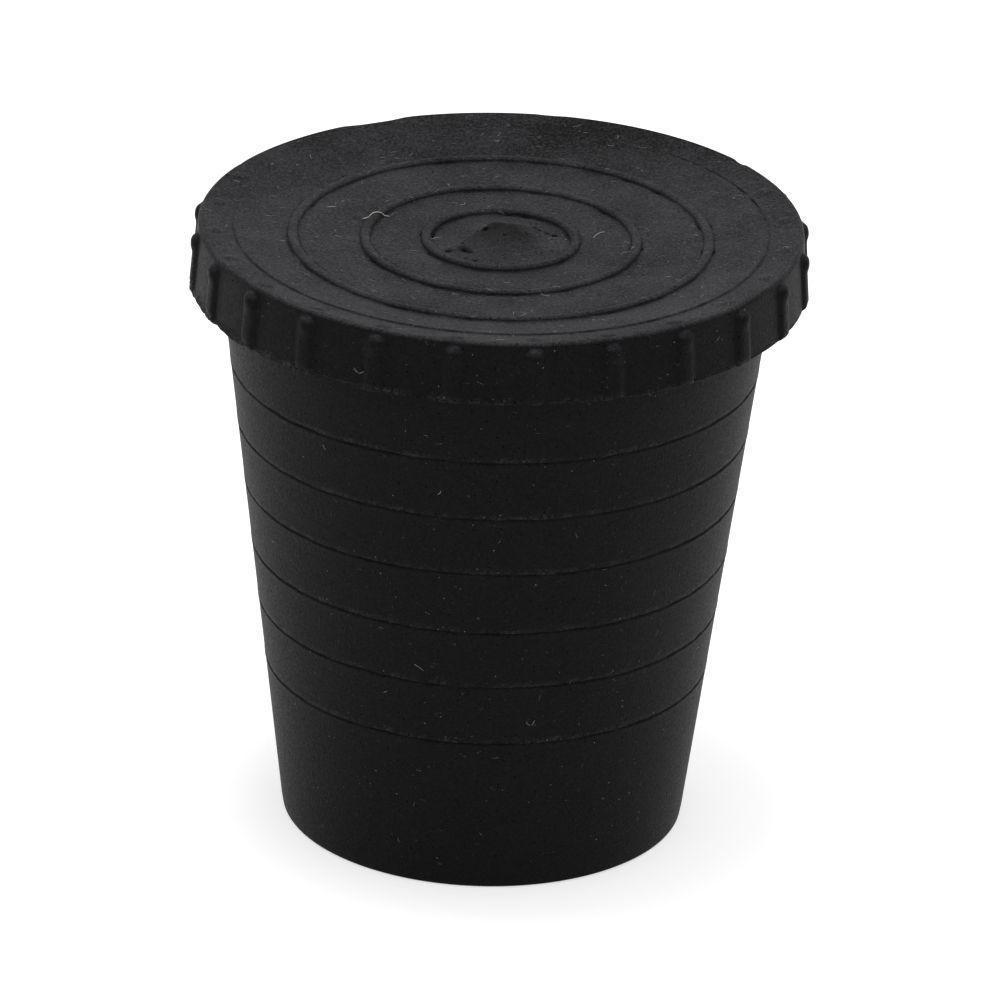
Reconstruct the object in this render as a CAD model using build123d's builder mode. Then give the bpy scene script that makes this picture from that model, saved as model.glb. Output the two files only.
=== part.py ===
"""Rubber stopper: a long tapered plug under a wide ribbed cap, moulded in one piece.

Millimetres. The stopper stands on the small end of its plug: the origin is the centre of that
end and +Z is the axis of the plug.
"""
from build123d import *
from math import atan2, cos, hypot, sin, sqrt
import os

# Plug: a plain taper that wedges into a hole
plug_length = 57.1
plug_small_radius = 20.15
plug_large_radius = 27.35
foot_fillet = 0.25

# Cap: a wide disc whose wall leans out a little towards its lower edge
cap_thickness = 6.1
cap_wall_top_radius = 30.0
cap_wall_bottom_radius = 30.45
cap_edge_fillet = 0.45
cap_top = plug_length + cap_thickness

# Six witness lines round the plug, left by the stacked rings of the mould
witness_count = 6
witness_first_height = 16.6
witness_pitch = 6.42
witness_depth = 0.10
witness_height = 0.34
witness_ledge = 0.04

# Grip ribs on the wall of the cap, and a button on the rim over each rib
rib_count = 24
rib_first_angle = -98.0
rib_width = 2.0
rib_proud = 0.42
rib_root = 0.12
rib_top_gap = 0.35
button_distance = 28.35
button_width = 1.30
button_height = 0.22

# Top face: a sloping rim band, a small step up, and a shallow dish
band_inner_radius = 26.75
band_drop = 0.48
step_width = 0.10
step_height = 0.12

# Three round beads in the dish: distance from the axis, and depth of the dish there
bead_distances = (20.45, 13.35, 7.45)
bead_dish_depths = (1.42, 1.73, 1.80)
bead_width = 1.13
bead_height = 0.45

# Low mound at the middle, where the sprue was torn off
mound_radius = 4.9
mound_height = 1.0
mound_dish_depth = 1.84


def plug_radius(height):
    """Radius of the plug's taper at a height above its small end."""
    taper = (plug_large_radius - plug_small_radius) / plug_length
    return plug_small_radius + taper * height


def witness_points(height):
    """One witness line: a short ledge that faces up, then a long flank back to the taper."""
    return [
        (plug_radius(height), height),
        (plug_radius(height) - witness_depth, height + witness_ledge),
        (plug_radius(height + witness_height), height + witness_height),
    ]


def arc_radius(width, rise):
    """Radius of the arc that spans a width and rises over its middle."""
    return (width**2 / 4 + rise**2) / (2 * rise)


# One grip rib: a round bar that follows the leaning wall, domed on top and cut flush at its foot.
# Only its proud outer part is kept, with a shallow root sunk in the wall.
wall_lean = atan2(cap_wall_bottom_radius - cap_wall_top_radius, cap_thickness)
wall_length = hypot(cap_thickness, cap_wall_bottom_radius - cap_wall_top_radius)
bar_radius = arc_radius(rib_width, rib_proud)
bar_depth = bar_radius - rib_proud
bar_overrun = 1.0
dome_centre = wall_length - rib_top_gap - rib_width / 2
up_the_wall = (-sin(wall_lean), 0, cos(wall_lean))
out_of_the_wall = (cos(wall_lean), 0, sin(wall_lean))
wall_foot = Plane(
    origin=(cap_wall_bottom_radius, 0, plug_length), x_dir=out_of_the_wall, z_dir=up_the_wall
)
wall_face = Plane(
    origin=(cap_wall_bottom_radius, 0, plug_length), x_dir=(0, 1, 0), z_dir=out_of_the_wall
)
with BuildPart() as rib:
    with BuildSketch(wall_foot.offset(-bar_overrun)):
        with Locations((-bar_depth, 0)):
            Circle(bar_radius)
    extrude(amount=bar_overrun + dome_centre)
    with Locations(wall_foot.offset(dome_centre)):
        with Locations((-bar_depth, 0)):
            Sphere(bar_radius)
    split(bisect_by=wall_face.offset(-rib_root), keep=Keep.TOP)
    split(bisect_by=Plane.XY.offset(plug_length), keep=Keep.TOP)

# Corners of the side, from the small end up to the rim, then down the rim band to the step
side = [(0, 0), (plug_small_radius, 0)]
for index in range(witness_count):
    side += witness_points(witness_first_height + index * witness_pitch)
side += [
    (plug_large_radius, plug_length),
    (cap_wall_bottom_radius, plug_length),
    (cap_wall_top_radius, cap_top),
    (band_inner_radius, cap_top - band_drop),
    (band_inner_radius - step_width, cap_top - band_drop + step_height),
]
mound_foot = cap_top - mound_dish_depth
mound_arc = arc_radius(2 * mound_radius, mound_height)
mound_shoulder = mound_height - mound_arc + sqrt(mound_arc**2 - mound_radius**2 / 4)

with BuildPart() as stopper:
    # One turned profile: plug, witness lines, cap, and the dish with its beads and mound
    with BuildSketch(Plane.XZ) as profile:
        with BuildLine():
            Polyline(*side)
            dish_end = side[-1]
            for distance, depth in zip(bead_distances, bead_dish_depths):
                dish = cap_top - depth
                outer_foot = (distance + bead_width / 2, dish)
                inner_foot = (distance - bead_width / 2, dish)
                Line(dish_end, outer_foot)
                ThreePointArc(outer_foot, (distance, dish + bead_height), inner_foot)
                dish_end = inner_foot
            Line(dish_end, (mound_radius, mound_foot))
            ThreePointArc(
                (mound_radius, mound_foot),
                (mound_radius / 2, mound_foot + mound_shoulder),
                (0, mound_foot + mound_height),
            )
            Line((0, mound_foot + mound_height), (0, 0))
        make_face()
        rim_corner = profile.vertices().sort_by_distance((cap_wall_top_radius, cap_top))[0]
        fillet(rim_corner, radius=cap_edge_fillet)
        foot_corner = profile.vertices().sort_by_distance((plug_small_radius, 0))[0]
        fillet(foot_corner, radius=foot_fillet)
    revolve(axis=Axis.Z)

    # The ribs stand round the wall of the cap
    with PolarLocations(0, rib_count, start_angle=rib_first_angle):
        add(rib.part)

    # The buttons are low domes on the rim band
    band_slope = band_drop / (cap_wall_top_radius - band_inner_radius)
    band_height = cap_top - band_slope * (cap_wall_top_radius - button_distance)
    button_sphere = arc_radius(button_width, button_height)
    with PolarLocations(button_distance, rib_count, start_angle=rib_first_angle):
        with Locations((0, 0, band_height + button_height - button_sphere)):
            Sphere(button_sphere)

stopper.part.label = "stopper"

os.makedirs("parts", exist_ok=True)
export_step(stopper.part, "parts/stopper.step")
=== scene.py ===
import math

import bpy
import numpy as np
from mathutils import Matrix, Vector, noise
from mathutils.bvhtree import BVHTree


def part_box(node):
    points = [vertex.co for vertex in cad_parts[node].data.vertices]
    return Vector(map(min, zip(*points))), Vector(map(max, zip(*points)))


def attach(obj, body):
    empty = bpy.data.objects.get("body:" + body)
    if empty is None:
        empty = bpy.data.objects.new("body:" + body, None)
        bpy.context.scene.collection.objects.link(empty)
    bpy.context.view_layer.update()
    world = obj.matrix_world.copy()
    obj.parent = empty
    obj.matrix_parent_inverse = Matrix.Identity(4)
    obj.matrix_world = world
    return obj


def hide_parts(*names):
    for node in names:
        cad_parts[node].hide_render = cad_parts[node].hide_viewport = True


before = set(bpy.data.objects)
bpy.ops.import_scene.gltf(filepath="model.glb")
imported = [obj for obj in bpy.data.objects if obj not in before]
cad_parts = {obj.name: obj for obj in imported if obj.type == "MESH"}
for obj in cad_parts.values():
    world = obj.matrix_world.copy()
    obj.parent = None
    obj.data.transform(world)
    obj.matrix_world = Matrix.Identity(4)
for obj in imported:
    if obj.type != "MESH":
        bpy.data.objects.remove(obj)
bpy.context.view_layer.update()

# ---------------------------------------------------------------------------------------------
# The stopper: one solid moulding of black rubber, a long tapered plug under a wide cap. It is
# pressed in a stack of steel rings, which leaves fine lines round the plug, and its sprue is
# torn off the middle of the cap. Its sizes are in millimetres until the mesh is made.
# ---------------------------------------------------------------------------------------------
MM = 0.001
cap_top = round(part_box("stopper")[1][2] / MM, 1)
cap_bottom = 57.1
full_turn = 2 * math.pi
random_state = np.random.default_rng(24)

# Columns of the mesh, by their angle round from the front. They crowd together on each grip rib,
# so that a rib has true flanks.
rib_count = 24
first_rib = -8.0
rib_spacing = 360 / rib_count
rib_columns = (
    -5.7, -4.0, -2.7, -2.05, -1.65, -1.25, -0.7, 0.0,
    0.7, 1.25, 1.65, 2.05, 2.7, 4.0, 5.7, 7.5,
)
rib_angles = first_rib + rib_spacing * np.arange(rib_count)
turn = np.radians(np.concatenate([angle + np.array(rib_columns) for angle in rib_angles]))
columns = len(turn)


def wave(orders, size):
    """A smooth unevenness round the axis: a few sine waves with random phases."""
    total = np.zeros(columns)
    for order in orders:
        phase = random_state.uniform(0, full_turn)
        total += np.sin(order * turn + phase) * random_state.uniform(0.5, 1)
    return size * total / math.sqrt(len(orders))


def rough(scale, seed, height=0.0, radius=30.0):
    """A ragged unevenness round the axis, from -1 to 1, with features of the given size."""
    values = []
    for angle in turn:
        spot = Vector((radius * math.sin(angle), radius * math.cos(angle), height)) / scale
        values.append(noise.noise(spot + Vector((seed, 0, 0))) * 1.6)
    return np.array(values)


def plateau(distance, flat, fade):
    """1 within a distance, falling to 0 beyond it."""
    return np.clip(1 - (np.abs(distance) - flat) / fade, 0, 1)


# Rows of the mesh: (distance from the axis, height), from the middle of the small end up the
# side, over the rim and into the middle of the cap's top face.
plug_small_radius = 20.15
plug_large_radius = 27.35
plug_taper = (plug_large_radius - plug_small_radius) / cap_bottom
foot_radius = 0.35
line_heights = (16.6, 23.1, 29.3, 36.0, 42.3, 48.7)
line_steps = (-1.2, -0.45, -0.12, 0.0, 0.05, 0.16, 0.30, 0.42, 0.9)
plain_heights = (1.2, 3.0, 6.0, 9.0, 12.0, 14.4, 19.8, 26.2, 32.7, 39.2, 45.5, 51.0, 53.5, 55.6, 56.7)

rows = [(6.0, 0.0), (13.0, 0.0), (18.0, 0.0), (19.4, 0.0)]
foot_rows = 5
for step in range(foot_rows):
    lean = math.radians(90 * step / (foot_rows - 1))
    rows.append((
        plug_small_radius - foot_radius + foot_radius * math.sin(lean),
        foot_radius - foot_radius * math.cos(lean),
    ))
line_rows = [line + step for line in line_heights for step in line_steps]
plug_start = len(rows)
rows += [(plug_small_radius + plug_taper * high, high) for high in sorted(line_rows + list(plain_heights))]
plug_rows = slice(plug_start, len(rows))

# Underside of the cap, then the thin lip of flash at its lower edge
seat_start = len(rows)
rows += [(27.38, 56.98), (27.50, 57.08), (28.2, 57.10), (29.4, 57.10), (30.1, 57.08), (30.42, 56.98)]
rows += [(30.50, 56.97), (30.53, 57.06), (30.53, 57.14), (30.48, 57.22), (30.44, 57.34)]
seat_rows = slice(seat_start, len(rows))

# Wall of the cap, from its lower edge up to the rounded rim
wall_start = len(rows)
wall_top_radius = 30.0
wall_lean = (30.44 - wall_top_radius) / (cap_top - 57.34)
wall_drops = (
    5.5, 5.05, 4.6, 4.1, 3.6, 3.1, 2.6, 2.2, 1.85,
    1.6, 1.42, 1.28, 1.14, 1.0, 0.88, 0.76, 0.64, 0.54,
)
rows += [(wall_top_radius + wall_lean * below, cap_top - below) for below in wall_drops]
wall_rows = slice(wall_start, len(rows))

# Rounded rim, crease, sloping band, and the small step at its inner edge
rim_start = len(rows)
rim_edge = 30.02
rim_radius = 0.42
rim_steps = 6
for step in range(rim_steps + 1):
    lean = math.radians(90 * step / rim_steps)
    rows.append((
        rim_edge - rim_radius + rim_radius * math.cos(lean),
        cap_top - rim_radius + rim_radius * math.sin(lean),
    ))
band_outer_radius = 29.37
band_inner_radius = 26.75
band_fall = 0.45
crease_points = ((29.50, 0.01), (29.46, 0.03), (29.42, 0.04), (band_outer_radius, 0.03))
rows += [(radius, cap_top - below) for radius, below in crease_points]
rim_rows = slice(rim_start, len(rows))
band_start = len(rows)
band_slope = band_fall / (band_outer_radius - band_inner_radius)
band_radii = (
    29.20, 29.06, 28.92, 28.78, 28.62, 28.46, 28.30, 28.14, 27.98, 27.84, 27.6, 27.2, 26.9, 26.76,
)
rows += [(radius, cap_top - 0.03 - band_slope * (band_outer_radius - radius)) for radius in band_radii]
band_rows = slice(band_start, len(rows))
step_points = ((26.62, 0.52), (26.56, 0.52), (26.50, 0.42), (26.44, 0.395))
rows += [(radius, cap_top - below) for radius, below in step_points]

# The dish, with three half-round beads; the rows crowd together on each bead
dish_radii = (0.0, 5.0, 7.4, 13.4, 20.0, 21.6, 23.0, 26.44)
dish_drops = (1.86, 1.84, 1.80, 1.73, 1.43, 1.36, 1.06, 0.395)
bead_radii = (20.62, 13.45, 7.40)
bead_heights = (0.30, 0.38, 0.45)
bead_half_width = 0.56
bead_crease = 0.13
bead_steps = (1.6, 1.12, 1.0, 0.95, 0.83, 0.62, 0.33, 0.0, -0.33, -0.62, -0.83, -0.95, -1.0, -1.12, -1.6)
open_radii = [26.2, 25.4, 24.4, 23.4, 22.4, 19.0, 18.0, 16.8, 15.6, 14.8, 12.0, 11.2, 10.2, 9.2, 8.6]
middle_radii = list(np.arange(6.36, 0.1, -0.17))
on_beads = [bead + step * bead_half_width for bead in bead_radii for step in bead_steps]
dish_start = len(rows)
for radius in sorted(open_radii + middle_radii + on_beads, reverse=True):
    rows.append((radius, cap_top - float(np.interp(radius, dish_radii, dish_drops))))
dish_rows = slice(dish_start, len(rows))

distance = np.repeat(np.array([row[0] for row in rows])[:, None], columns, axis=1)
height = np.repeat(np.array([row[1] for row in rows])[:, None], columns, axis=1)

# Two things are recorded for the rubber's colour at each point of the mesh: painted shade in its creases,
# cracks and pits, with a darker tone on the torn middle and in the rim's step, and pale dust with a
# painted highlight on its proud edges and ledges.
painted_shade_and_tone = np.zeros_like(height)
rubbed_dust_and_highlight = np.zeros_like(height)

# Witness lines: a narrow ledge that faces up, under a flank that leans back out to the taper.
# Each line wanders a little, and is deeper in some places than in others.
line_depth = 0.12
line_lip = 0.03
line_shape_at = (-0.45, -0.12, 0.0, 0.05, 0.16, 0.30, 0.42, 0.9)
line_shape = (
    0.0, line_lip, line_lip, -line_depth, -0.6 * line_depth, -0.15 * line_depth, line_lip, 0.0,
)
plug_height = height[plug_rows].copy()
for index, line in enumerate(line_heights):
    near = plateau(plug_height - line, 1.3, 1.2)
    strength = 1 + wave((1, 2, 5, 9), 0.12) + 0.45 * rough(1.6, 7.0 * index, line)
    shape = np.interp(plug_height - line, line_shape_at, line_shape, left=0, right=0)
    distance[plug_rows] += strength * shape
    # Pale dust on each line's upward ledge, with a painted highlight along that ledge
    line_dust_and_highlight = np.clip(0.45 + rough(1.2, 83.0, line), 0, 1)
    rubbed_dust_and_highlight[plug_rows] += plateau(plug_height - line - 0.36, 0.05, 0.1) * line_dust_and_highlight
    height[plug_rows] += near * (wave((1, 2, 3, 7), 0.035) + 0.04 * rough(3.0, 3.0 + index, line))

# The plug is very slightly out of true, as rubber is
distance[plug_rows] += wave((2, 3), 0.02) * np.clip(plug_height / 10, 0, 1)

# Flash: the lip at the lower edge of the cap is ragged
flash = 0.07 * rough(0.9, 11.0) + 0.07 * rough(2.2, 19.0) + 0.04 * rough(0.45, 5.0)
flash_radius = 30.5
lip = plateau(distance[seat_rows] - flash_radius, 0.10, 0.3)
height[seat_rows] += lip * np.where(height[seat_rows] < 57.15, flash, 0.4 * flash)
distance[seat_rows] += lip * 0.04 * rough(0.6, 23.0)
# Pale dust on the flash lip, with a painted highlight on its edge
rubbed_dust_and_highlight[seat_rows] += lip * np.clip(0.35 + rough(1.1, 29.0), 0, 1)

# Grip ribs: low bars with rounded shoulders, a domed top end with a knob, and a shallower foot.
# Each is a little off its place, and differs a little in size.
rib_circle = 30.2
rib_width = 2.1
rib_proud = 0.44
rib_knob = 0.26
rib_end = 0.42
rib_foot = 0.6
rib_number = np.repeat(np.arange(rib_count), len(rib_columns))
rib_stray = random_state.uniform(-0.06, 0.06, rib_count)[rib_number]
rib_size = random_state.uniform(0.9, 1.08, rib_count)[rib_number]
off_rib = np.tile(np.radians(rib_columns), rib_count) * rib_circle + rib_stray
for part in (seat_rows, wall_rows):
    drop = cap_top - height[part]
    above = np.clip(rib_end + rib_width / 2 - drop, 0, None)
    reach = np.hypot(off_rib, above) / (rib_width / 2)
    bar = rib_proud * rib_size * (1 - np.clip(reach, 0, 1) ** 3.2) ** 0.6
    to_knob = np.hypot(off_rib, drop - rib_end - rib_width / 2) / (0.42 * rib_width)
    bar = bar + rib_knob * (1 - np.clip(to_knob, 0, 1) ** 2) ** 0.7
    foot = np.clip((cap_top - cap_bottom + 0.15 - drop) / rib_foot, 0.1, 1) ** 0.6
    outside = np.clip((distance[part] - 30.1) / 0.3, 0, 1)
    distance[part] += bar * foot * (outside if part == seat_rows else 1)

# Buttons: one low dome on the rim band over each rib, lower round the back
button_circle = 28.40
button_half_length = 0.82
button_half_width = 0.72
button_height = 0.17
button_back_angle = 112
along_rim = off_rib * button_circle / rib_circle / button_half_length
over_band = (distance[band_rows] - button_circle) / button_half_width
dome = (1 - np.clip(np.hypot(along_rim, over_band), 0, 1) ** 2.2) ** 0.6
from_front = np.abs((np.degrees(turn) + 180) % 360 - 180)
back_share = np.clip((from_front - button_back_angle) / 12, 0, 0.75)
height[band_rows] += (1 - back_share) * button_height * rib_size * dome

# The crease in the rim comes and goes, and the rim has nicks: (angle, width in degrees, depth)
rim_crease = plateau(distance[rim_rows] - 29.44, 0.03, 0.03)
height[rim_rows] -= rim_crease * 0.05 * rough(1.6, 31.0)
nicks = ((-154.0, 5.5, 0.22), (127.0, 1.5, 0.16), (-118.0, 1.0, 0.06), (171.0, 2.2, 0.05))
for nick_at, nick_width, nick_depth in nicks:
    away = (np.degrees(turn) - nick_at + 180) % 360 - 180
    cut = nick_depth * np.exp(-((away / nick_width) ** 4))
    height[rim_rows] -= cut * plateau(distance[rim_rows] - 29.75, 0.3, 0.25)

# Beads: half-round, each a little uneven in height and a little off its circle. There is a fine
# crease at each bead's foot, darkened with painted shade.
reference = distance[dish_rows].copy()
for bead, bead_height in zip(bead_radii, bead_heights):
    across = (reference - bead) / bead_half_width
    strength = 1 + wave((2, 3, 5), 0.07) + 0.07 * rough(2.0, bead, 0, bead)
    height[dish_rows] += bead_height * strength * np.clip(1 - np.abs(across) ** 2.4, 0, 1) ** 0.6
    foot_crease = plateau(np.abs(across) - 1.06, 0.03, 0.09)
    depth = foot_crease * np.clip(0.6 + rough(3.0, 40 + bead, 0, bead), 0.1, 1.4)
    height[dish_rows] -= bead_crease * depth
    # Painted shade in the crease at the bead's foot
    painted_shade_and_tone[dish_rows] += depth * np.clip(0.75 + rough(0.8, 60 + bead, 0, bead), 0.2, 1.3)
    distance[dish_rows] += plateau(reference - bead, 1.2, 0.7) * wave((2, 3, 5, 8), 0.03)

# The torn middle. The sprue leaves a low tent of rubber with a sheer, cracked left side. Each
# face of the tent is a plane: (height at the axis, rise to the right, rise to the back).
east = distance * np.sin(turn)
north = -distance * np.cos(turn)
tent_faces = ((0.98, 0.02, 0.225), (2.55, -0.05, -0.60), (1.62, -0.36, 0.02), (1.06, -0.10, 0.33))
tent_edge = 0.16
tent_foot = 0.12
cliff_foot = (-4.4, -2.9)
cliff_run = (0.48, 0.877)
cliff_slope = 1.5
crack_depth = 0.7


def noise_at(x, y, size, seed):
    """Smooth noise over the cap's face, about -1 to 1, with lumps of the given size."""
    return 1.5 * noise.noise(Vector((x / size, y / size, seed)))


def tear(x, y):
    """The torn patch at a place in plan: its height above the dish, and how dark it is: painted shade in
    the crack, and a darker tone over the tent.
    """
    past = (x - cliff_foot[0]) * cliff_run[1] - (y - cliff_foot[1]) * cliff_run[0]
    along = (x - cliff_foot[0]) * cliff_run[0] + (y - cliff_foot[1]) * cliff_run[1]
    past += 0.22 * noise_at(x, y, 0.9, 4.0) + 0.10 * noise_at(x, y, 0.35, 9.0)
    tops = [top + right * x + back * y for top, right, back in tent_faces]
    tops.append(0.20 + cliff_slope * past)
    body = -tent_edge * math.log(sum(math.exp(-top / tent_edge) for top in tops))
    body -= 0.18 * math.exp(-(((x - 0.5) / 0.7) ** 2) - ((y - 1.6) / 1.1) ** 2)
    body = tent_foot * math.log(1 + math.exp(body / tent_foot))
    lip = 0.16 * math.exp(-(((past - 0.05) / 0.22) ** 2)) * plateau(along - 3.2, 2.6, 0.8)
    crack = crack_depth * math.exp(-(((past + 0.28) / 0.14) ** 2)) * plateau(along - 4.4, 2.4, 0.6)
    crack *= min(1.0, max(0.0, 0.7 + 1.3 * noise_at(x, y, 0.8, 21.0)))
    folds = math.sin(4.2 * y - 2.6 * x) * math.exp(-((x + 0.7) ** 2 + (y - 2.0) ** 2) / 1.3)
    lumps = 0.055 * noise_at(x, y, 1.6, 2.0) + 0.03 * noise_at(x, y, 0.6, 3.0)
    # The second value: painted shade in the crack, and a darker tone over the tent as it rises
    return body + lip - crack + 0.07 * folds + lumps, 3.2 * crack + 0.62 * min(1.0, body)


# Pits in the torn patch, (right, back, radius, depth), and one round blister at its left
pits = (
    (1.50, 3.3, 0.24, 0.60), (1.95, 3.2, 0.22, 0.55), (3.3, 2.7, 0.17, 0.40), (3.75, 2.4, 0.15, 0.35),
    (4.6, 2.1, 0.18, 0.40), (5.3, 1.9, 0.22, 0.50), (-5.1, -2.9, 0.28, 0.55), (-2.5, -5.1, 0.20, 0.40),
    (-3.4, -4.7, 0.14, 0.30), (-1.7, 0.7, 0.26, 0.40), (0.55, 3.4, 0.14, 0.35), (4.1, -2.9, 0.13, 0.25),
    (-3.6, -2.9, 0.42, 0.22), (-3.0, -3.2, 0.34, 0.16), (0.3, -0.2, 0.12, 0.15), (2.6, 0.4, 0.12, 0.15),
)
blister_at = (-4.55, -2.2)
blister_radius = 0.42
torn_radius = 6.5
for row in np.argwhere((distance[:, 0] < 6.7) & (height[:, 0] > cap_bottom))[:, 0]:
    for column in range(columns):
        x, y = east[row, column], north[row, column]
        radius = math.hypot(x, y)
        fade = max(0.0, min(1.0, (torn_radius - radius) / 1.2))
        rise, shade_and_tone = (fade * value for value in tear(x, y))
        for pit_x, pit_y, pit_radius, pit_depth in pits:
            near = ((x - pit_x) ** 2 + (y - pit_y) ** 2) / pit_radius**2
            if near < 6 and radius < 6.7:
                rise -= pit_depth * math.exp(-near)
                # Painted shade in each pit
                shade_and_tone += 4.0 * pit_depth * math.exp(-near)
        ring = math.hypot(x - blister_at[0], y - blister_at[1]) - blister_radius
        rise += 0.07 * math.exp(-((ring / 0.13) ** 2)) * fade
        height[row, column] += rise
        painted_shade_and_tone[row, column] += shade_and_tone
middle_height = cap_top - dish_drops[0] + tear(0.0, 0.0)[0]

# The step at the inner edge of the rim band is darkened, most of it at the back on the right
step_rows = (distance > 26.42) & (distance < 26.66) & (height > cap_top - 1)
step_darkening = 0.15 + 0.75 * plateau(np.degrees(turn) - 124, 17, 5) + 0.5 * rough(1.2, 71.0, 0, 26.5)
painted_shade_and_tone[step_rows] += np.broadcast_to(np.clip(step_darkening, 0, 1), height.shape)[step_rows]

# The cap sits a little to one side of the plug, and its rim is slightly out of flat
cap_shift = 0.27
cap_share = np.clip((height - cap_bottom + 0.2) / 0.3, 0, 1)
warp = -0.08 * np.cos(2 * turn) - 0.12 * np.sin(2 * turn)
height += cap_share * warp * np.clip(distance / wall_top_radius, 0, 1) ** 2
east = distance * np.sin(turn) + cap_shift * cap_share
north = -distance * np.cos(turn)

# The mesh: quads between rows, and a fan of triangles at each end
points = np.stack([east, north, height], axis=-1).reshape(-1, 3)
points = np.vstack([points, (0, 0, 0), (cap_shift, 0, middle_height)])
bottom_point = len(points) - 2
middle_point = len(points) - 1
faces = []
for row in range(len(rows) - 1):
    for column in range(columns):
        after = (column + 1) % columns
        low, high = row * columns, (row + 1) * columns
        faces.append((low + column, low + after, high + after, high + column))
last_row = (len(rows) - 1) * columns
for column in range(columns):
    after = (column + 1) % columns
    faces.append((bottom_point, after, column))
    faces.append((middle_point, last_row + column, last_row + after))

stopper_mesh = bpy.data.meshes.new("rubber_stopper")
stopper_mesh.from_pydata((points * MM).tolist(), [], faces)
stopper_mesh.shade_smooth()
for layer_name, amounts in (("painted_shade_and_tone", painted_shade_and_tone), ("rubbed_dust_and_highlight", rubbed_dust_and_highlight)):
    layer = stopper_mesh.attributes.new(layer_name, "FLOAT", "POINT")
    layer.data.foreach_set("value", np.clip(np.append(amounts.ravel(), (0, 0)), 0, 1).astype(np.float32))
rubber_stopper = bpy.data.objects.new("rubber_stopper", stopper_mesh)
bpy.context.scene.collection.objects.link(rubber_stopper)

# Black rubber with a fine grain, faint mottling, light specks, small dark pits, dust with painted light on
# the faces that look up, painted shade in its hollows and painted highlights on its ledges
rubber = bpy.data.materials.new("black_rubber")
rubber.use_nodes = True
nodes = rubber.node_tree.nodes
links = rubber.node_tree.links
shader = nodes["Principled BSDF"]
shader.inputs["IOR"].default_value = 1.148


def node(kind, **values):
    """Adds a node to the rubber and sets its inputs by name."""
    made = nodes.new(kind)
    for name, value in values.items():
        made.inputs[name.replace("_", " ")].default_value = value
    return made


def remap(source, low, high, to_low, to_high):
    """Maps a range of a node's output onto another range, clamped."""
    made = nodes.new("ShaderNodeMapRange")
    links.new(source, made.inputs["Value"])
    made.inputs["From Min"].default_value = low
    made.inputs["From Max"].default_value = high
    made.inputs["To Min"].default_value = to_low
    made.inputs["To Max"].default_value = to_high
    return made.outputs["Result"]


def maths(operation, first, second):
    """Joins two outputs, or an output and a number, by arithmetic."""
    made = nodes.new("ShaderNodeMath")
    made.operation = operation
    for socket, value in zip(made.inputs, (first, second)):
        if isinstance(value, (int, float)):
            socket.default_value = value
        else:
            links.new(value, socket)
    return made.outputs["Value"]


rubber_place = nodes.new("ShaderNodeTexCoord")
in_mm = nodes.new("ShaderNodeMapping")
in_mm.inputs["Scale"].default_value = (1 / MM, 1 / MM, 1 / MM)
links.new(rubber_place.outputs["Object"], in_mm.inputs["Vector"])
place_mm = in_mm.outputs["Vector"]

mottle = node("ShaderNodeTexNoise", Scale=0.13, Detail=5.0, Roughness=0.62)
grain = node("ShaderNodeTexNoise", Scale=3.6, Detail=2.5, Roughness=0.6)
fine_grain = node("ShaderNodeTexNoise", Scale=8.0, Detail=2.0, Roughness=0.6)
for texture in (mottle, grain, fine_grain):
    links.new(place_mm, texture.inputs["Vector"])

# Specks: one spot in each cell of a random net, kept in a few cells only
specks = node("ShaderNodeTexVoronoi", Scale=1.9)
links.new(place_mm, specks.inputs["Vector"])
speck_pick = nodes.new("ShaderNodeSeparateColor")
links.new(specks.outputs["Color"], speck_pick.inputs["Color"])
speck_kept = remap(speck_pick.outputs["Red"], 0.90, 0.97, 0.0, 1.0)
light_speck = maths("MULTIPLY", remap(specks.outputs["Distance"], 0.05, 0.13, 1.0, 0.0), speck_kept)
pit_kept = remap(speck_pick.outputs["Red"], 0.24, 0.14, 0.0, 1.0)
dark_speck = maths("MULTIPLY", remap(specks.outputs["Distance"], 0.10, 0.22, 1.0, 0.0), pit_kept)

# Fluff: a like net drawn out long and bent, for short pale hairs too fine for the lint mesh
bend = node("ShaderNodeTexNoise", Scale=0.8, Detail=1.0)
links.new(place_mm, bend.inputs["Vector"])
bent = nodes.new("ShaderNodeVectorMath")
bent.operation = "MULTIPLY_ADD"
links.new(bend.outputs["Color"], bent.inputs[0])
bent.inputs[1].default_value = (1.6, 1.6, 1.6)
links.new(place_mm, bent.inputs[2])
fluff_masks = []
for fluff_turn in (0.5, 2.2):
    drawn = nodes.new("ShaderNodeMapping")
    drawn.inputs["Rotation"].default_value = (0.4, 0.3, fluff_turn)
    drawn.inputs["Scale"].default_value = (0.45, 4.2, 1.2)
    links.new(bent.outputs["Vector"], drawn.inputs["Vector"])
    strands = node("ShaderNodeTexVoronoi", Scale=0.95)
    links.new(drawn.outputs["Vector"], strands.inputs["Vector"])
    strand_pick = nodes.new("ShaderNodeSeparateColor")
    links.new(strands.outputs["Color"], strand_pick.inputs["Color"])
    kept = remap(strand_pick.outputs["Green"], 0.70, 0.95, 0.0, 1.0)
    fluff_masks.append(maths("MULTIPLY", remap(strands.outputs["Distance"], 0.08, 0.16, 1.0, 0.0), kept))
fluff = maths("MAXIMUM", *fluff_masks)

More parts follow.
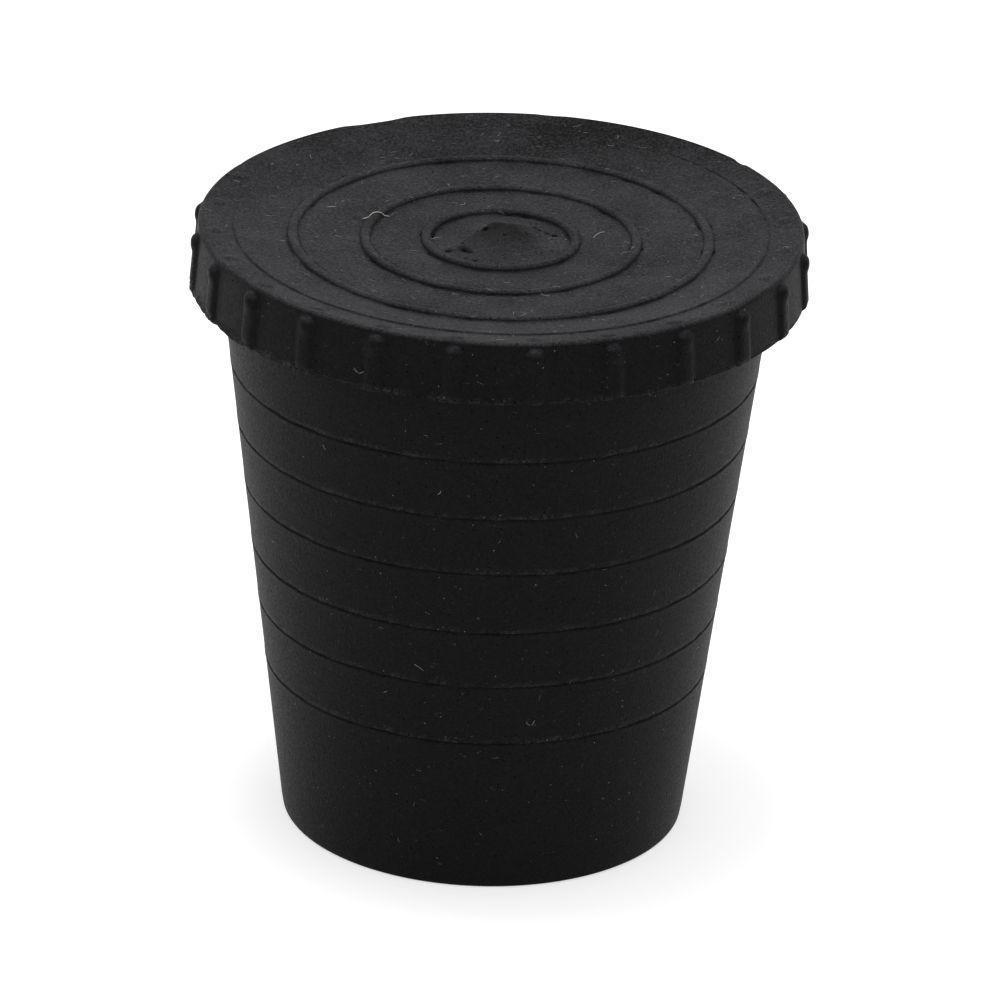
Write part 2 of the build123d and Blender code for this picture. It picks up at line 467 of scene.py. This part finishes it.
# Shade multiplies the rubber's colour: grain and mottling everywhere, then, on the faces that look up,
# settled dust together with painted light that lightens them, in clouds, and darker towards the back of
# the cap
rubber_colour = (0.0042, 0.0040, 0.0046)
pale_dust_and_highlight_colour = (0.13, 0.125, 0.135, 1)
pit_and_shade_colour = (0.001, 0.001, 0.001, 1)
speck_colour = (0.27, 0.265, 0.27, 1)
coarse_shade = remap(grain.outputs["Fac"], 0.3, 0.7, 0.55, 1.35)
shade = maths("ADD", coarse_shade, remap(mottle.outputs["Fac"], 0.3, 0.7, -0.14, 0.14))
shade = maths("ADD", shade, remap(fine_grain.outputs["Fac"], 0.35, 0.65, -0.3, 0.3))
facing = nodes.new("ShaderNodeNewGeometry")
upward = nodes.new("ShaderNodeSeparateXYZ")
links.new(facing.outputs["Normal"], upward.inputs["Vector"])
facing_up_share = remap(upward.outputs["Z"], 0.3, 0.95, 0.0, 1.0)
# Faces that look up made lighter: partly settled dust, partly painted light from above
top_dust_and_light = maths("MULTIPLY", remap(grain.outputs["Fac"], 0.42, 0.72, 2.2, 6.2), facing_up_share)
clouds = maths("MULTIPLY", remap(mottle.outputs["Fac"], 0.35, 0.65, -1.7, 1.3), facing_up_share)
plan = nodes.new("ShaderNodeSeparateXYZ")
links.new(place_mm, plan.inputs["Vector"])
darker_to_back = maths("MULTIPLY", remap(plan.outputs["Y"], 17, 27, 0.0, 2.9), facing_up_share)
clouds = maths("SUBTRACT", clouds, darker_to_back)
shade = maths("ADD", maths("ADD", shade, top_dust_and_light), clouds)
base = nodes.new("ShaderNodeVectorMath")
base.operation = "SCALE"
base.inputs[0].default_value = rubber_colour
links.new(shade, base.inputs["Scale"])


def mixed(first, second, mask):
    """Mixes a plain colour into an output by a mask."""
    made = nodes.new("ShaderNodeMix")
    made.data_type = "RGBA"
    links.new(mask, made.inputs["Factor"])
    from_colour, to_colour = [socket for socket in made.inputs if socket.type == "RGBA"]
    links.new(first, from_colour)
    to_colour.default_value = second
    return [socket for socket in made.outputs if socket.type == "RGBA"][0]


fluff_share = maths("MULTIPLY", fluff, remap(upward.outputs["Z"], 0.55, 0.95, 0.22, 0.9))
colour_with_dust_and_highlight = mixed(base.outputs["Vector"], pale_dust_and_highlight_colour, fluff_share)

# Pale dust with a painted highlight on the proud edges, and pale specks, then the dark pits and the
# painted shade and darker tone in the hollows
dust_and_highlight_reader = nodes.new("ShaderNodeAttribute")
dust_and_highlight_reader.attribute_name = "rubbed_dust_and_highlight"
# Pale dust on proud edges and ledges, with a painted highlight on them
edge_dust_and_highlight = maths("MULTIPLY", dust_and_highlight_reader.outputs["Fac"], remap(grain.outputs["Fac"], 0.42, 0.60, 0.0, 0.16))
colour_with_dust_and_highlight = mixed(colour_with_dust_and_highlight, pale_dust_and_highlight_colour, edge_dust_and_highlight)
colour_with_dust_and_highlight = mixed(colour_with_dust_and_highlight, speck_colour, light_speck)
# Painted shade in creases, cracks and pits, and a darker tone on the torn middle, mixed in with the dark
# pits
shade_and_tone = nodes.new("ShaderNodeAttribute")
shade_and_tone.attribute_name = "painted_shade_and_tone"
pit_and_shade_mask = maths("MAXIMUM", dark_speck, shade_and_tone.outputs["Fac"])
links.new(mixed(colour_with_dust_and_highlight, pit_and_shade_colour, pit_and_shade_mask), shader.inputs["Base Color"])
polish = remap(grain.outputs["Fac"], 0.35, 0.65, 0.59, 0.46)
links.new(maths("MAXIMUM", polish, pit_and_shade_mask), shader.inputs["Roughness"])

# Relief finer than the mesh: the grain, with the pits sunk and the specks and fluff raised
relief = maths("ADD", grain.outputs["Fac"], maths("MULTIPLY", fine_grain.outputs["Fac"], 0.5))
relief = maths("SUBTRACT", relief, maths("MULTIPLY", dark_speck, 4.0))
relief = maths("ADD", relief, maths("MULTIPLY", maths("MAXIMUM", light_speck, fluff), 0.8))
bump = node("ShaderNodeBump", Strength=0.8, Distance=0.000065)
links.new(relief, bump.inputs["Height"])
links.new(bump.outputs["Normal"], shader.inputs["Normal"])
stopper_mesh.materials.append(rubber)

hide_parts("stopper")
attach(rubber_stopper, "root")

# ---------------------------------------------------------------------------------------------
# Lint: short pale hairs of cloth fibre that cling to the rubber. One long curl and a few others
# lie in known places, among a scatter of very fine ones. Each is a thin tube on the surface.
# ---------------------------------------------------------------------------------------------
rubber_surface = BVHTree.FromPolygons(points.tolist(), faces)
hair_random = np.random.default_rng(7)
hair_step = 0.22
hair_sides = 3
side_radius = 27.0
hair_points = []
hair_faces = []


def on_top(x, y):
    """The point of the cap's top face under a place in plan."""
    return rubber_surface.ray_cast(Vector((x, y, 80)), Vector((0, 0, -1)))


def on_side(angle, level):
    """The point of the side at an angle round from the front, in radians, and a height."""
    outward = Vector((math.sin(angle), -math.cos(angle), 0))
    return rubber_surface.ray_cast(outward * 60 + Vector((0, 0, level)), -outward)


def lay_hair(start, heading, length, curl, thickness, side=False):
    """Walks a hair over the surface, turning steadily, and wraps a tube round its path."""
    steps = max(3, int(length / hair_step))
    here = np.array(start, dtype=float)
    path = []
    for index in range(steps + 1):
        if side:
            hit, out, _, _ = on_side(here[0] / side_radius, here[1])
        else:
            hit, out, _, _ = on_top(here[0], here[1])
        if hit is None:
            return
        path.append(hit + out * (thickness * 0.6))
        here += hair_step * np.array((math.cos(heading), math.sin(heading)))
        heading += curl / steps + hair_random.uniform(-0.18, 0.18)
    first = len(hair_points)
    for index, spot in enumerate(path):
        ahead = path[min(index + 1, steps)] - path[max(index - 1, 0)]
        across = ahead.cross(Vector((0.3, 0.2, 1))).normalized()
        above = across.cross(ahead).normalized()
        taper = 0.55 if index in (0, steps) else 1.0
        for corner in range(hair_sides):
            angle = full_turn * corner / hair_sides
            edge = across * math.cos(angle) + above * math.sin(angle)
            hair_points.append(spot + edge * (thickness / 2 * taper))
    for index in range(steps):
        for corner in range(hair_sides):
            after = (corner + 1) % hair_sides
            low = first + index * hair_sides
            high = low + hair_sides
            hair_faces.append((low + corner, low + after, high + after, high + corner))
    hair_faces.append(tuple(first + corner for corner in reversed(range(hair_sides))))
    hair_faces.append(tuple(first + steps * hair_sides + corner for corner in range(hair_sides)))


# Hairs in known places on the top: right, back, heading, length, curl, thickness
top_hairs = (
    (-13.5, 4.2, 50, 3.2, -85, 0.085), (9.4, 1.2, 76, 2.3, -80, 0.055), (-17.1, 6.7, 5, 0.9, 11.46, 0.045),
    (-6.6, -0.6, 100, 1.6, -90, 0.03), (12.2, -2.6, 60, 1.8, -50, 0.025),
)
for right, back, heading, length, curl, thickness in top_hairs:
    lay_hair((right, back), math.radians(heading), length, math.radians(curl), thickness)

# Hairs in known places on the side: angle round, height, heading, length, curl
side_hair_thickness = 0.036
side_hairs = (
    (-26.6, 58.9, -60, 0.7, 40), (-25.6, 58.4, 35, 0.6, 20), (-39.0, 47.8, -75, 0.8, 20),
    (-11.5, 45.0, 30, 0.8, 60), (-17.5, 25.3, -25, 1.4, 15), (-26.0, 21.3, 20, 0.7, 30),
    (10.7, 19.3, -50, 0.6, 20), (12.2, 18.9, 60, 0.6, 20),
)
for degrees, level, heading, length, curl in side_hairs:
    start = (math.radians(degrees) * side_radius, level)
    lay_hair(start, math.radians(heading), length, math.radians(curl), side_hair_thickness, side=True)

# The scatter of very fine hairs
top_scatter = 130
side_scatter = 90
for index in range(top_scatter):
    reach = 29.0 * math.sqrt(hair_random.uniform(0, 1))
    angle = hair_random.uniform(0, full_turn)
    start = (reach * math.cos(angle), reach * math.sin(angle))
    heading = hair_random.uniform(0, full_turn)
    length = hair_random.uniform(0.4, 1.2)
    curl = hair_random.uniform(-2.2, 2.2)
    lay_hair(start, heading, length, curl, hair_random.uniform(0.012, 0.03))
for index in range(side_scatter):
    start = (side_radius * hair_random.uniform(-math.pi, math.pi), hair_random.uniform(2, 61))
    heading = hair_random.uniform(0, full_turn)
    length = hair_random.uniform(0.4, 0.9)
    curl = hair_random.uniform(-2.2, 2.2)
    lay_hair(start, heading, length, curl, hair_random.uniform(0.009, 0.018), side=True)

lint_mesh = bpy.data.meshes.new("lint_hairs")
lint_mesh.from_pydata([tuple(point * MM) for point in hair_points], [], hair_faces)
lint_hairs = bpy.data.objects.new("lint_hairs", lint_mesh)
bpy.context.scene.collection.objects.link(lint_hairs)
lint = bpy.data.materials.new("pale_lint")
lint.use_nodes = True
lint_nodes = lint.node_tree.nodes
lint_shader = lint_nodes["Principled BSDF"]
lint_shader.inputs["Roughness"].default_value = 0.8
lint_colour = lint_nodes.new("ShaderNodeValToRGB")
lint_colour.color_ramp.elements[0].color = (0.16, 0.155, 0.16, 1)
lint_colour.color_ramp.elements[1].color = (0.55, 0.54, 0.52, 1)
lint_patch = lint_nodes.new("ShaderNodeTexNoise")
lint_patch.inputs["Scale"].default_value = 400
lint_place = lint_nodes.new("ShaderNodeTexCoord")
lint.node_tree.links.new(lint_place.outputs["Object"], lint_patch.inputs["Vector"])
lint.node_tree.links.new(lint_patch.outputs["Fac"], lint_colour.inputs["Fac"])
lint.node_tree.links.new(lint_colour.outputs["Color"], lint_shader.inputs["Base Color"])
lint_mesh.materials.append(lint)
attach(lint_hairs, "root")

# ---------------------------------------------------------------------------------------------
# Stage: a plain white floor, which takes the stopper's soft shadow, in an evenly white room with
# one soft lamp overhead. The floor glows a little where it is seen or mirrored.
# ---------------------------------------------------------------------------------------------
half_floor = 2.0
floor_drop = 0.00002
floor_lift = 0.5
floor_corners = [(-half_floor, -half_floor, 0), (half_floor, -half_floor, 0)]
floor_corners += [(half_floor, half_floor, 0), (-half_floor, half_floor, 0)]
floor_mesh = bpy.data.meshes.new("floor")
floor_mesh.from_pydata(floor_corners, [], [(0, 1, 2, 3)])
floor = bpy.data.objects.new("floor", floor_mesh)
floor.location = (0, 0, -floor_drop)
bpy.context.scene.collection.objects.link(floor)
floor_paint = bpy.data.materials.new("white_floor")
floor_paint.use_nodes = True
floor_nodes = floor_paint.node_tree.nodes
floor_links = floor_paint.node_tree.links
floor_shader = floor_nodes["Principled BSDF"]
floor_shader.inputs["Base Color"].default_value = (0.7, 0.7, 0.7, 1)
floor_shader.inputs["Roughness"].default_value = 0.9
floor_shader.inputs["Emission Color"].default_value = (1, 1, 1, 1)
floor_rays = floor_nodes.new("ShaderNodeLightPath")
seen = floor_rays.outputs["Is Camera Ray"]
for kind_of_ray in ("Is Glossy Ray", "Is Transmission Ray"):
    either = floor_nodes.new("ShaderNodeMath")
    either.operation = "MAXIMUM"
    floor_links.new(seen, either.inputs[0])
    floor_links.new(floor_rays.outputs[kind_of_ray], either.inputs[1])
    seen = either.outputs["Value"]
lift = floor_nodes.new("ShaderNodeMath")
lift.operation = "MULTIPLY"
lift.inputs[1].default_value = floor_lift
floor_links.new(seen, lift.inputs[0])
floor_links.new(lift.outputs["Value"], floor_shader.inputs["Emission Strength"])
floor_mesh.materials.append(floor_paint)

room = bpy.data.worlds.new("white_room")
room.use_nodes = True
bpy.context.scene.world = room
room_back = room.node_tree.nodes["Background"]
room_back.inputs["Color"].default_value = (1, 1, 1, 1)
room_back.inputs["Strength"].default_value = 0.95

# The lamp overhead picks out the edges that look up
overhead_data = bpy.data.lights.new("overhead", "AREA")
overhead_data.size = 0.16
overhead_data.energy = 1.3
overhead = bpy.data.objects.new("overhead", overhead_data)
overhead.location = (-0.03, 0.0, 0.6)
bpy.context.scene.collection.objects.link(overhead)

# ---------------------------------------------------------------------------------------------
# Camera: a long lens a metre away at the front, looking down on the cap and rolled a little. It
# aims a little above and to the right of the stopper's middle.
# ---------------------------------------------------------------------------------------------
target = Vector((0.00096, 0, 0.03332))
camera_distance = 1.061
camera_rise = math.radians(24.018)
camera_roll = math.radians(1.724)
camera_data = bpy.data.cameras.new("camera")
camera_data.lens = 381.7
camera_data.sensor_width = 36
camera_data.clip_start = 0.05
camera = bpy.data.objects.new("camera", camera_data)
offset = Vector((0, -math.cos(camera_rise), math.sin(camera_rise))) * camera_distance
aim = (-offset).to_track_quat("-Z", "Y").to_matrix().to_4x4()
camera.matrix_world = Matrix.Translation(target + offset) @ aim @ Matrix.Rotation(camera_roll, 4, "Z")
bpy.context.scene.collection.objects.link(camera)
bpy.context.scene.camera = camera
bpy.context.scene.view_settings.view_transform = "Standard"
